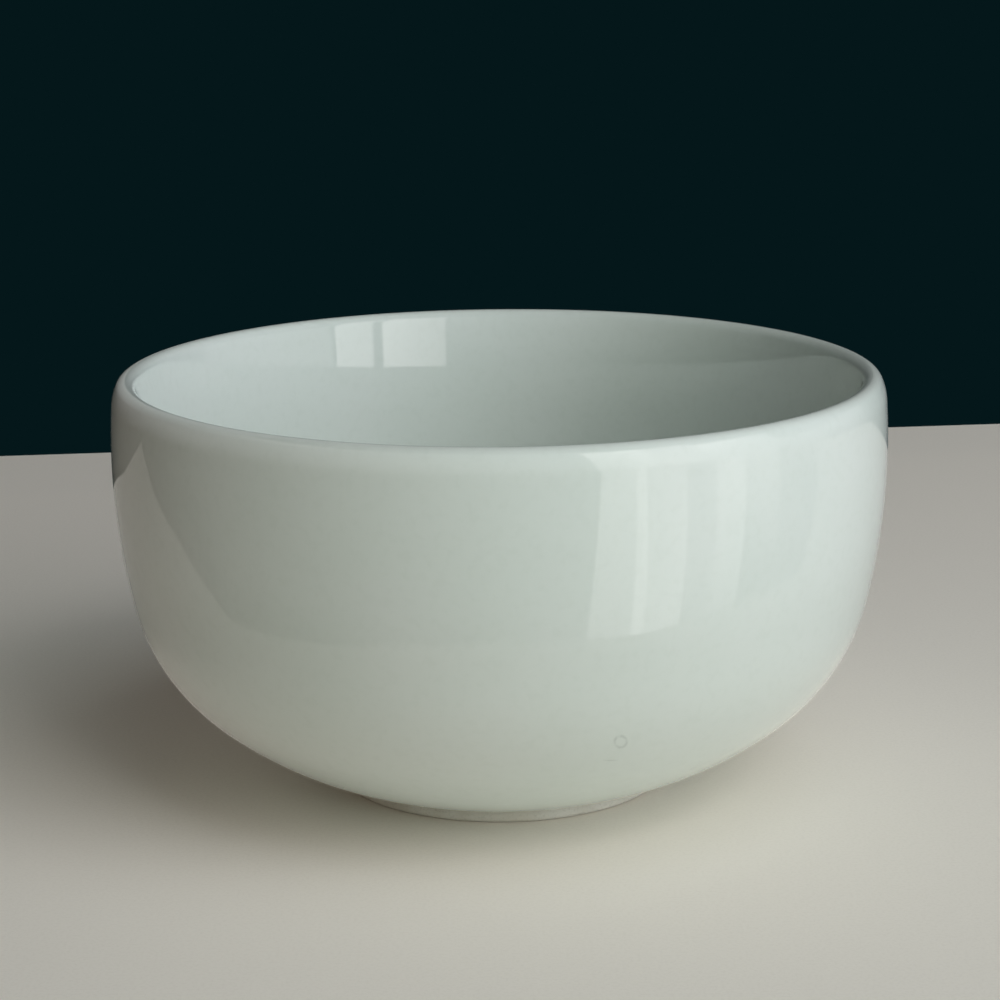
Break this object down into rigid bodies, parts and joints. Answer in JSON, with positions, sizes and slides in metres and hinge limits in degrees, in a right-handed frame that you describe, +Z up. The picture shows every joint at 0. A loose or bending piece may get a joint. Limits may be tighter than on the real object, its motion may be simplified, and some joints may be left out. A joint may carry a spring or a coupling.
{
  "type": "latte bowl",
  "caption": "Round latte bowl of white glazed porcelain with an upright wall, a soft round lip and a belly that turns in to a low bare foot ring, for coffee with milk or cereal.",
  "frame": {"origin": "on the table, under the middle of the bowl", "axes": "+Z up along the bowl's axis, -Y towards the picture's viewer, +X to the picture's right"},
  "size_m": [0.13, 0.13, 0.0702],
  "materials": {
    "porcelain": "bare fired porcelain, matte, with a fine grain and a ground tread",
    "glaze": "glossy clear glaze over white porcelain, with a pale green-grey cast"
  },
  "bodies": {
    "root": {"porcelain_body": "porcelain", "foot_ring": "porcelain", "outer_glaze": "glaze", "inner_glaze": "glaze", "base_glaze": "glaze"}
  },
  "joints": []
}
